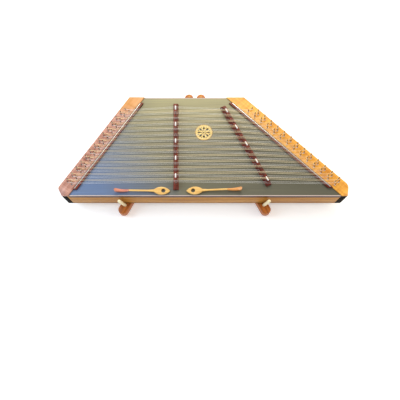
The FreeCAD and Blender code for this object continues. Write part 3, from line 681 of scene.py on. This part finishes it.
def finishes():
    """Every finish by name."""
    scene = bpy.context.scene
    woods, fittings, loose = scene.dulcimer_woods, scene.dulcimer_fittings, scene.dulcimer_loose
    half = (CAD_BOX[1] - CAD_BOX[0]).x / 2
    left, right = side_angle("left"), side_angle("right")
    # Painted highlight line along the top of the mouldings.
    lip = pale_lip(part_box("front_moulding")[1].z - woods.lip_drop, woods.lip)
    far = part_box("block_top_left")[1].y
    end = painted_warm_end(far - woods.far_end_warm_light_reach, far - woods.far_end_warm_light_full, woods.far_end_warm_light)
    low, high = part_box("rosette")
    rose = scorched(middle((low, high)), ROSETTE_PETALS, BURNT_RINGS, (high - low).x / 2 - BURNT_RIM,
                    loose.rosette_burnt)
    return {
        "board": stained_board("stained_board", woods.board_left_with_reflection, woods.board_middle_with_reflection,
                               woods.board_right_with_reflection, woods.board_far_reflection, half),
        # The two tops' colours carry painted tints of the cool left light and the warm right light.
        "top_left": wood("figured_top_left", woods.top_left_pale_cool_lit, woods.top_left_dark_cool_lit, left,
                         figure=0.8, gloss=0.32, coat=0.2, streak=0.3, sheen=0.3, overlay=end),
        "top_right": wood("figured_top_right", woods.top_right_pale_warm_lit, woods.top_right_dark_warm_lit, right,
                          figure=0.8, gloss=0.32, coat=0.2, streak=0.3, sheen=0.3),
        "rail": wood("rail_wood", woods.rail_pale, woods.rail_dark, figure=0.15, coat=0.0, sheen=0.15),
        "edge": wood("edge_wood", woods.edge_pale, woods.edge_dark, coat=0.1, sheen=0.3, overlay=lip),
        "core_left": wood("core_wood_left", woods.core_pale, woods.core_dark, left, rings=160.0),
        "core_right": wood("core_wood_right", woods.core_pale, woods.core_dark, right, rings=160.0),
        "black": smooth("ebonised_wood", woods.black, 0.7, Specular_IOR_Level=0.05),
        "back": wood("back_board_wood", woods.back_pale, woods.back_dark),
        "inner": wood("bare_spruce", woods.inner_pale, woods.inner_dark, gloss=0.6, coat=0.0),
        "bridge": wood("bridge_wood", fittings.bridge_pale, fittings.bridge_dark, 90.0,
                       coat=0.1, sheen=0.3),
        "side_left": wood("side_bridge_left", fittings.bridge_pale, fittings.bridge_dark, left,
                          coat=0.1, sheen=0.3),
        "side_right": wood("side_bridge_right", fittings.bridge_pale, fittings.bridge_dark, right,
                           coat=0.1, sheen=0.3),
        "marker": smooth("white_cap", fittings.marker_white, 0.3, mottle=0.02),
        "cap": smooth("dark_cap", fittings.plain_cap, 0.3),
        # The wires glow with a painted glint.
        "steel": smooth("bright_steel", fittings.steel, 0.4, 0.7, grain=2500.0,
                        Emission_Color=fittings.steel, Emission_Strength=fittings.painted_string_glint),
        "bronze": smooth("bronze_wire", fittings.bronze, 0.4, 0.7, grain=2500.0,
                         Emission_Color=fittings.bronze, Emission_Strength=fittings.painted_string_glint),
        "rod": smooth("bright_rod", fittings.rod, 0.25, 1.0),
        "hitch": smooth("blued_pin", fittings.hitch, 0.3, 1.0),
        # The tuning pins' gold is a painted reflection of the block top on nickel.
        "tuner": smooth("nickel_pin", fittings.nickel, 0.25, 1.0),
        "hardware": smooth("bronzed_hardware", loose.hardware, 0.4, 1.0),
        "rosette": wood("rosette_wood", loose.rosette_pale, loose.rosette_dark, 20.0, gloss=0.4,
                        coat=0.1, sheen=0.3, overlay=rose),
        "hammer": wood("hammer_wood", loose.hammer_pale, loose.hammer_dark, rings=120.0, gloss=0.4),
        # The two heads differ only by painted tints of the cool and the warm light.
        "head_left": wood("left_head_wood", loose.head_left_pale_cool_lit, loose.head_left_dark_cool_lit, rings=120.0),
        "head_right": wood("right_head_wood", loose.head_right_pale_warm_lit, loose.head_right_dark_warm_lit, rings=120.0),
        "leather": smooth("pad_leather", loose.leather, 0.85, mottle=0.2, depth=0.0002),
        "peg": wood("peg_wood", loose.peg_pale, loose.peg_dark, rings=200.0, gloss=0.5, coat=0.1),
        "arm_left": wood("arm_wood_left", loose.arm_pale, loose.arm_dark, arm_angle("left"),
                         coat=0.1, sheen=0.3),
        "arm_right": wood("arm_wood_right", loose.arm_pale, loose.arm_dark, arm_angle("right"),
                          coat=0.1, sheen=0.3),
        "rubber": smooth("black_rubber", loose.rubber, 0.8, mottle=0.2, depth=0.0001),
        "felt": felt("black_felt", loose.felt),
    }


made_finishes = {}


def finish_of(kind):
    """A shared finish; all of them are made when the first is asked for."""
    if not made_finishes:
        made_finishes.update(finishes())
    return made_finishes[kind]


# Operators.

class DULCIMER_OT_add_stage(bpy.types.Operator):
    """Adds the floor, the surroundings, the lights and the camera"""
    bl_idname = "dulcimer.add_stage"
    bl_label = "Stage"

    def execute(self, context):
        stage = context.scene.dulcimer_stage
        deselect()
        bpy.ops.mesh.primitive_plane_add(size=stage.floor_width)
        floor = context.object
        floor.name = "floor"
        pale = Finish("pale_floor", Roughness=0.9, Base_Color=stage.floor_colour,
                      Emission_Color=(1.0, 1.0, 1.0, 1.0), Emission_Strength=stage.floor_glow)
        floor.data.materials.append(pale.material)
        world = bpy.data.worlds.new("surroundings")
        context.scene.world = world
        world.use_nodes = True
        sky = world.node_tree.nodes["Background"].inputs
        sky["Color"].default_value = (1.0, 1.0, 1.0, 1.0)
        sky["Strength"].default_value = stage.sky
        for side in ("back", "left", "right"):
            self.add_light(side + "_light", getattr(stage, side + "_place"),
                           getattr(stage, side + "_size"), getattr(stage, side + "_watts"),
                           getattr(stage, side + "_tint"))
        eye = middle(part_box("soundboard")) + Vector(stage.eye)
        bpy.ops.object.camera_add(location=eye, rotation=(stage.tilt, 0.0, 0.0))
        camera = context.object
        camera.name = "camera"
        camera.data.lens = stage.lens
        camera.data.sensor_width = stage.sensor
        context.scene.camera = camera
        context.scene.view_settings.view_transform = "Standard"
        return {"FINISHED"}

    def add_light(self, name, place, size, watts, tint):
        """A square soft light aimed at the middle of the soundboard."""
        deselect()
        bpy.ops.object.light_add(type="AREA", location=place)
        light = bpy.context.object
        light.name = name
        light.data.size = size
        light.data.energy = watts
        light.data.color = tint
        aim = middle(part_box("soundboard")) - Vector(place)
        light.rotation_euler = aim.to_track_quat("-Z", "Y").to_euler()


class DULCIMER_OT_add_sound_box(bpy.types.Operator):
    """Adds the boards, rails, blocks and mouldings of the sound box"""
    bl_idname = "dulcimer.add_sound_box"
    bl_label = "Sound box"

    def execute(self, context):
        edge = context.scene.dulcimer_woods.edge_round
        for name, node, width, kind, slot in (
                ("figured_top_left", "block_top_left", edge, "top_left", "block_top"),
                ("figured_top_right", "block_top_right", edge, "top_right", "block_top"),
                ("block_left", "pin_block_left", edge / 2, "core_left", "block_core"),
                ("block_right", "pin_block_right", edge / 2, "core_right", "block_core"),
                ("corner_left", "corner_cap_left", edge / 2, "black", "corner_black"),
                ("corner_right", "corner_cap_right", edge / 2, "black", "corner_black"),
                ("rail_front", "front_rail", edge / 4, "rail", "rail_wood"),
                ("rail_back", "back_rail", edge / 4, "rail", "rail_wood"),
                ("moulding_front", "front_moulding", edge, "edge", "edge_wood"),
                ("moulding_back", "back_moulding", edge, "edge", "edge_wood"),
                ("binding_front", "front_binding", edge / 2, "black", "edge_wood"),
                ("board_back", "back_board", edge / 2, "back", "back_board")):
            piece = rounded_node(node, width, HOLE_EDGE)
            show(piece, name, "instrument", [node], finish_of(kind))
        coat_node("soundboard", finish_of("board"))
        for node in ("ledge_left", "ledge_right", "treble_brace", "bass_brace", "cross_brace_front",
                     "cross_brace_rear"):
            coat_node(node, finish_of("inner"))
        return {"FINISHED"}


class DULCIMER_OT_add_rosette(bpy.types.Operator):
    """Adds the pierced rosette in the sound hole"""
    bl_idname = "dulcimer.add_rosette"
    bl_label = "Rosette"

    def execute(self, context):
        piece = rounded_node("rosette", context.scene.dulcimer_loose.rosette_round)
        show(piece, "pierced_rosette", "instrument", ["rosette"], finish_of("rosette"))
        return {"FINISHED"}


class DULCIMER_OT_add_bridges(bpy.types.Operator):
    """Adds the two main bridges with their caps, and the side bridges with their rods"""
    bl_idname = "dulcimer.add_bridges"
    bl_label = "Bridges"

    def execute(self, context):
        edge = context.scene.dulcimer_fittings.bridge_round
        for family in ("treble", "bass"):
            node = family + "_bridge"
            piece = rounded_node(node, edge, HOLE_EDGE)
            show(piece, family + "_bridge_bar", "instrument", [node], finish_of("bridge"))
            for ending, kind, slot in (("_marker_caps", "marker", "cap_white"),
                                       ("_caps", "cap", "cap_dark")):
                self.add_caps(family + ending, finish_of(kind), slot)
        for side in ("left", "right"):
            node = "side_bridge_" + side
            piece = rounded_node(node, edge)
            show(piece, node + "_bar", "instrument", [node], finish_of("side_" + side))
            coat_node("side_rod_" + side, finish_of("rod"))
        return {"FINISHED"}

    def add_caps(self, node, material, slot):
        """Short round-ended rods, one for each course, along the line of their bridge."""
        solids = solids_of(node)
        centres = [middle(points) for points in solids]
        low, high = extent(solids[0])
        along = centres[-1] - centres[0]
        radius = (high.z - low.z) / 2
        lean = along.normalized()
        reach = (high.y - low.y) / abs(lean.y) - abs(lean.x) * 2 * radius
        lie = along.to_track_quat("Z", "Y").to_matrix().to_4x4()
        pattern = rod(reach, radius, radius * 0.6)
        places = [Matrix.Translation(centre) @ lie for centre in centres]
        piece = copies(pattern, places, node)
        show(piece, node + "_round", "instrument", [node], material)


class DULCIMER_OT_add_pins(bpy.types.Operator):
    """Adds the hitch pins and the tuning pins"""
    bl_idname = "dulcimer.add_pins"
    bl_label = "Pins"

    def execute(self, context):
        soft = context.scene.dulcimer_fittings.hitch_round
        hitch = [extent(points) for points in solids_of("hitch_pins")]
        low, high = hitch[0]
        pattern = rod(high.z - low.z, (high.x - low.x) / 2, soft, 12)
        places = [Matrix.Translation((low + high) / 2) for low, high in hitch]
        piece = copies(pattern, places, "hitch_pins")
        show(piece, "hitch_pin_row", "instrument", ["hitch_pins"], finish_of("hitch"))
        tuning = [extent(points) for points in solids_of("tuning_pins")]
        places = [Matrix.Translation((low + high) / 2) for low, high in tuning]
        piece = copies(self.tuning_pin(*tuning[0]), places, "tuning_pins")
        show(piece, "tuning_pin_row", "instrument", ["tuning_pins"], finish_of("tuner"))
        for joint in frame["joints"]:
            body = joint["child"]
            if body.startswith("tuning_pin"):
                low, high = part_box(body)
                place = [Matrix.Translation((low + high) / 2)]
                piece = copies(self.tuning_pin(low, high), place, body)
                show(piece, body + "_key", body, [body], finish_of("tuner"))
        return {"FINISHED"}

    def tuning_pin(self, low, high):
        """A round shank that runs into a slightly tapered square head, about its own middle."""
        fittings = bpy.context.scene.dulcimer_fittings
        head, side, taper = fittings.head_length, fittings.head_side, fittings.head_taper
        height = high.z - low.z
        radius = (high.x - low.x) / 2
        sink = MM    # the square goes this far into the shank
        shank = rod(height - head, radius, fittings.shank_round)
        shank.location.z = -head / 2
        apply_place(shank)
        deselect()
        bpy.ops.mesh.primitive_cube_add(size=1.0)
        square = bpy.context.object
        square.scale = (side, side, head + sink)
        square.location.z = height / 2 - (head + sink) / 2
        apply_place(square)
        select_faces(square, lambda face: face.normal.z > 0.9)
        bpy.ops.transform.resize(value=(taper, taper, 1.0))
        bpy.ops.object.mode_set(mode="OBJECT")
        soften(square, fittings.square_round)
        only(shank)
        square.select_set(True)
        bpy.ops.object.join()
        return shank


class DULCIMER_OT_add_strings(bpy.types.Operator):
    """Adds the strings, with a loop at each hitch pin and a coil on each tuning pin"""
    bl_idname = "dulcimer.add_strings"
    bl_label = "Strings"

    def execute(self, context):
        hitches = [middle(points) for points in solids_of("hitch_pins")]
        self.turning = {joint["child"]: middle(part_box(joint["child"])) for joint in frame["joints"]
                        if joint["child"].startswith("tuning_pin")}
        tuners = [middle(points) for points in solids_of("tuning_pins")] + list(self.turning.values())
        self.hitch_radius = self.pin_radius("hitch_pins")
        self.tuner_radius = self.pin_radius("tuning_pins")
        for family, kind, slot in (("treble", "steel", "string_steel"),
                                   ("bass", "bronze", "string_bronze")):
            self.add_family(family, finish_of(kind), slot, hitches, tuners)
        return {"FINISHED"}

    def pin_radius(self, node):
        """Radius of the pins of a node."""
        low, high = extent(solids_of(node)[0])
        return (high.x - low.x) / 2

    def add_family(self, family, material, slot, hitches, tuners):
        """All the wires of one family; coils on pins that turn ride on those pins."""
        solids = solids_of(family + "_strings")
        low, high = extent(solids[0])
        gauge = high.y - low.y
        routes = []
        coils = []
        for points in solids:
            line = self.centre_line(points)
            hitch = min(hitches, key=lambda pin: (pin - line[0]).xy.length)
            tuner = min(tuners, key=lambda pin: (pin - line[-1]).xy.length)
            routes.append(line)
            routes.append(self.loop(line[0], hitch, gauge))
            routes.append(self.twist(line, gauge))
            coils.append((self.coil(line[-1], tuner, gauge), tuner))
        fixed = [coil for coil, tuner in coils if tuner not in self.turning.values()]
        piece = wires(family + "_wires", routes + fixed, gauge)
        show(piece, family + "_wires", "instrument", [family + "_strings"], material)
        for body, pin in self.turning.items():
            own = [coil for coil, tuner in coils if tuner == pin]
            if own:
                show(wires(body + "_coil", own, gauge), body + "_coil", body, [], material)

    def centre_line(self, points):
        """The middle of a bar's section at each of its bends, from left to right."""
        sections = {}
        for point in points:
            sections.setdefault(round(point.x, 4), []).append(point)
        return [middle(sections[x]) for x in sorted(sections)]

    def turn_about(self, pin, radius, angle, level):
        """A point at an angle round a pin."""
        return Vector((pin.x + radius * math.cos(angle), pin.y + radius * math.sin(angle), level))

    def loop(self, start, pin, gauge):
        """One closed turn round a hitch pin, from where the string meets it."""
        radius = self.hitch_radius + gauge / 2
        first = math.atan2(start.y - pin.y, start.x - pin.x)
        rise = 0.6 * gauge
        return [self.turn_about(pin, radius, first + 2 * math.pi * i / LOOP_STEPS,
                                start.z + rise * i / LOOP_STEPS) for i in range(LOOP_STEPS + 1)]

    def twist(self, line, gauge):
        """The spare end wound round the string behind its loop."""
        reach = bpy.context.scene.dulcimer_fittings.twist_length
        start = line[0]
        along = (line[1] - line[0]).normalized()
        aside = along.cross(Vector((0, 0, 1))).normalized()
        over = aside.cross(along)
        clear = 2.5 * MM    # from the pin to the first turn
        pitch = 2.4 * gauge
        turns = reach / pitch
        steps = int(TWIST_STEPS * turns)
        route = []
        for i in range(steps + 1):
            angle = 2 * math.pi * turns * i / steps
            away = aside * math.cos(angle) + over * math.sin(angle)
            route.append(start + along * (clear + reach * i / steps) + away * gauge)
        return route

    def coil(self, start, pin, gauge):
        """Close turns of wire up a tuning pin, from where the string meets it."""
        turns = bpy.context.scene.dulcimer_fittings.coil_turns
        loose = (start - pin).xy.length
        close = self.tuner_radius + gauge / 2
        first = math.atan2(start.y - pin.y, start.x - pin.x)
        hand = -1 if start.y > pin.y else 1
        rise = 1.05 * gauge * turns
        steps = int(COIL_STEPS * turns)
        route = []
        for i in range(steps + 1):
            snug = min(1.0, 3 * i / steps)    # the first third winds in from the string to the pin
            radius = loose + (close - loose) * snug
            angle = first + hand * 2 * math.pi * turns * i / steps
            route.append(self.turn_about(pin, radius, angle, start.z + rise * i / steps))
        return route


class DULCIMER_OT_add_hammers(bpy.types.Operator):
    """Adds the two hammers"""
    bl_idname = "dulcimer.add_hammers"
    bl_label = "Hammers"

    def execute(self, context):
        loose = context.scene.dulcimer_loose
        for side in ("left", "right"):
            body = "hammer_" + side
            for part, kind, width, slot in (
                    ("handle", "hammer", loose.handle_round, "hammer_wood"),
                    ("head", "head_" + side, loose.head_round, "hammer_head_wood"),
                    ("pad", "leather", loose.pad_round, "pad_leather")):
                node = body + "_" + part
                piece = rounded_node(node, width, segments=3, sharpness=25.0)
                show(piece, node + "_shaped", body, [node], finish_of(kind))
        return {"FINISHED"}


class DULCIMER_OT_add_stand(bpy.types.Operator):
    """Adds the folding stand"""
    bl_idname = "dulcimer.add_stand"
    bl_label = "Stand"

    def execute(self, context):
        edge = context.scene.dulcimer_loose.arm_round
        for side in ("left", "right"):
            body = "arm_" + side
            for name, node, width, kind, slot in (
                    ("arm_bar_" + side, "arm_" + side, edge, body, "arm_wood"),
                    ("arm_strip_" + side, "arm_felt_" + side, edge / 8, "felt", "felt"),
                    ("round_peg_" + side, "peg_" + side, edge / 8, "peg", "peg_wood"),
                    ("foot_front_" + side, "front_foot_" + side, edge / 3, "rubber", "foot_rubber")):
                show(rounded_node(node, width, HOLE_EDGE), name, body, [node], finish_of(kind))
            bolt = "pivot_bolt_" + side
            show(rounded_node(bolt, edge / 8), "bolt_" + side, "stand", [bolt], finish_of("hardware"))
        for name, node, width, kind, slot in (
                ("yoke_plate", "stand_yoke", edge / 4, "arm_left", "arm_wood"),
                ("foot_rear", "rear_foot", edge / 8, "rubber", "foot_rubber"),
                ("washers", "pivot_washers", edge / 10, "hardware", "zinc_steel"),
                ("nuts", "pivot_nuts", edge / 5, "hardware", "zinc_steel")):
            show(rounded_node(node, width), name, "stand", [node], finish_of(kind))
        return {"FINISHED"}


class DULCIMER_PT_panel(bpy.types.Panel):
    """Lists the pieces and what may be changed about them"""
    bl_idname = "DULCIMER_PT_panel"
    bl_label = "Dulcimer"
    bl_space_type = "VIEW_3D"
    bl_region_type = "UI"
    bl_category = "Dulcimer"

    def draw(self, context):
        for group in GROUPS:
            box = self.layout.box()
            for name in group.__annotations__:
                box.prop(getattr(context.scene, group_name(group)), name)
        for step in STEPS:
            self.layout.operator(step.bl_idname)


GROUPS = (DulcimerWoods, DulcimerFittings, DulcimerLoose, DulcimerStage)
STEPS = (DULCIMER_OT_add_stage, DULCIMER_OT_add_sound_box, DULCIMER_OT_add_rosette,
         DULCIMER_OT_add_bridges, DULCIMER_OT_add_pins, DULCIMER_OT_add_strings,
         DULCIMER_OT_add_hammers, DULCIMER_OT_add_stand)


def group_name(group):
    """Name of a group's pointer on the scene."""
    return "dulcimer_" + group.__name__.replace("Dulcimer", "").lower()


def register():
    for kind in GROUPS + STEPS + (DULCIMER_PT_panel,):
        bpy.utils.register_class(kind)
    for group in GROUPS:
        setattr(bpy.types.Scene, group_name(group), bpy.props.PointerProperty(type=group))


def unregister():
    for group in GROUPS:
        delattr(bpy.types.Scene, group_name(group))
    for kind in reversed(GROUPS + STEPS + (DULCIMER_PT_panel,)):
        bpy.utils.unregister_class(kind)


def main():
    """Makes every piece in order."""
    register()
    for step in STEPS:
        family, operator = step.bl_idname.split(".")
        getattr(getattr(bpy.ops, family), operator)()


if __name__ == "__main__":
    main()
